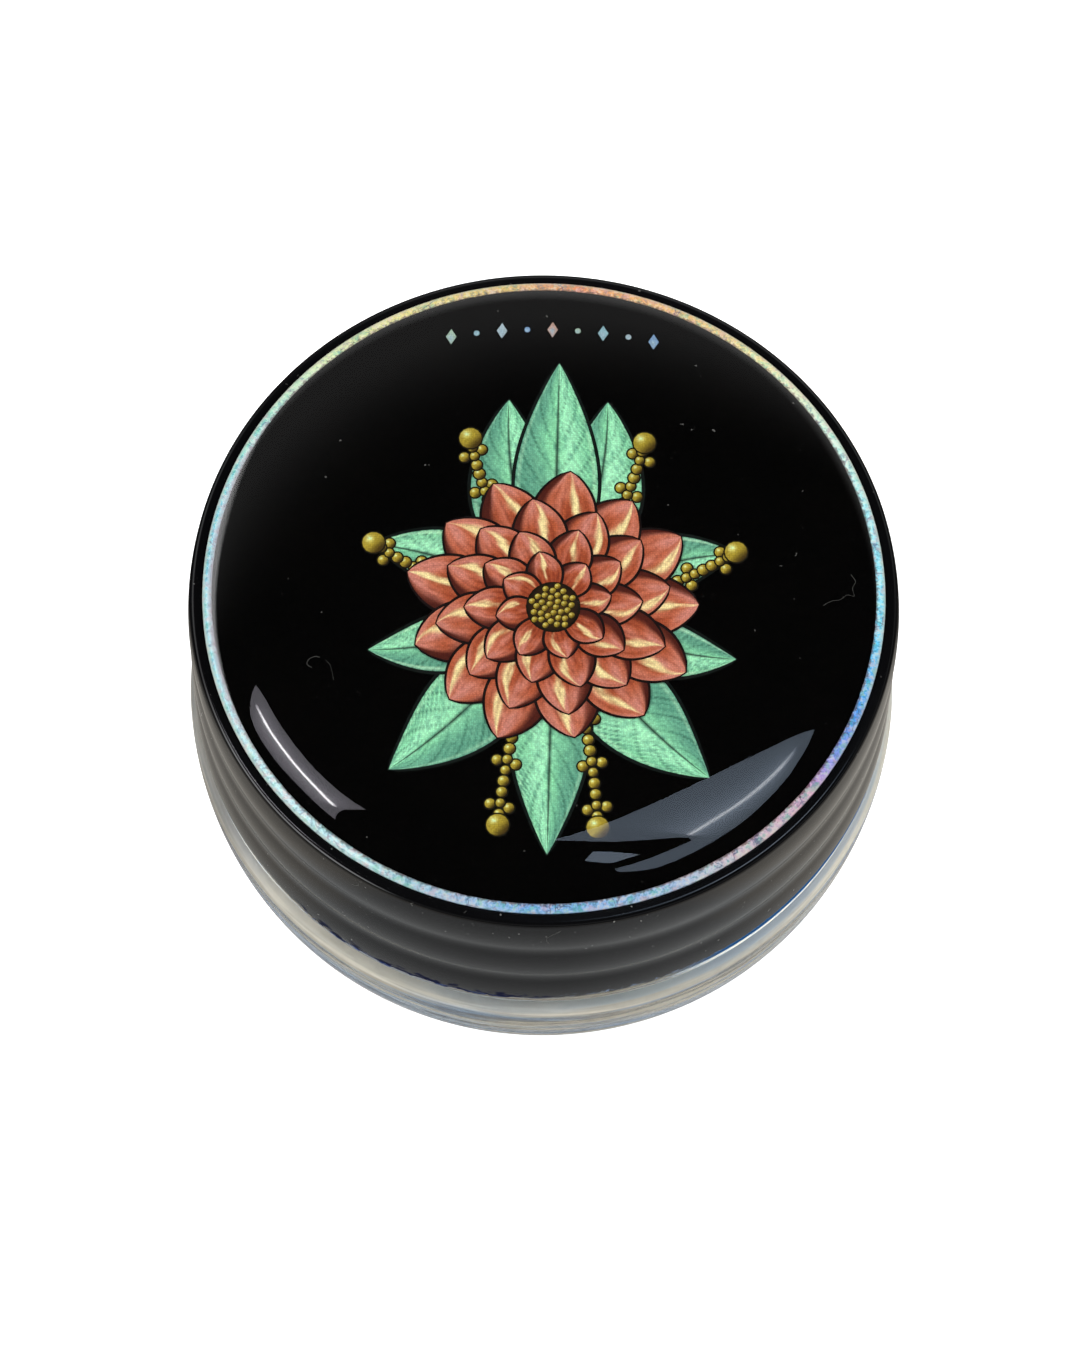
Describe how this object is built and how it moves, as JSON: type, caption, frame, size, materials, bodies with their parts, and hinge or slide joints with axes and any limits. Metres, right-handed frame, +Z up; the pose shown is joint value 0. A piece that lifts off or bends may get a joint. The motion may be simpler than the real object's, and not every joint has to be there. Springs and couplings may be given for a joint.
{
  "type": "herb grinder",
  "caption": "Round herb grinder: a glass lid with a glossy black coat, shallow grip bands and a domed round label turns on a thick clear glass base, with pyramid teeth inside",
  "frame": {"origin": "centre of the foot rim's face, on the turning axis", "axes": "+Z up along the turning axis, +Y to the top of the label, +X to the label's right"},
  "size_m": [0.0608, 0.0608, 0.0304],
  "materials": {
    "clear_glass": "polished pressed clear glass",
    "black_coat": "opaque glossy black coat on glass",
    "slip_plastic": "translucent low-friction plastic",
    "adhesive": "acrylic mounting adhesive",
    "rainbow_foil": "metallised rainbow film",
    "printed_ink": "black print on the film",
    "clear_resin": "clear cast resin dome"
  },
  "bodies": {
    "base": {"lower_half": "clear_glass", "lower_inner_teeth": "clear_glass", "lower_outer_teeth": "clear_glass"},
    "ring": {"slip_ring": "slip_plastic"},
    "lid": {"upper_half": "clear_glass", "upper_inner_teeth": "clear_glass", "upper_outer_teeth": "clear_glass", "black_coat": "black_coat", "label_adhesive": "adhesive", "label_foil": "rainbow_foil", "label_ink": "printed_ink", "label_dome": "clear_resin"}
  },
  "joints": [
    {"name": "lid_turn", "type": "hinge", "parent": "base", "child": "ring", "pos_m": [0, 0, 0.0087], "axis": [0, 0, 1], "continuous": true},
    {"name": "lid_lift", "type": "slide", "parent": "ring", "child": "lid", "axis": [0, 0, 1], "range_m": [0, 0.04]}
  ]
}
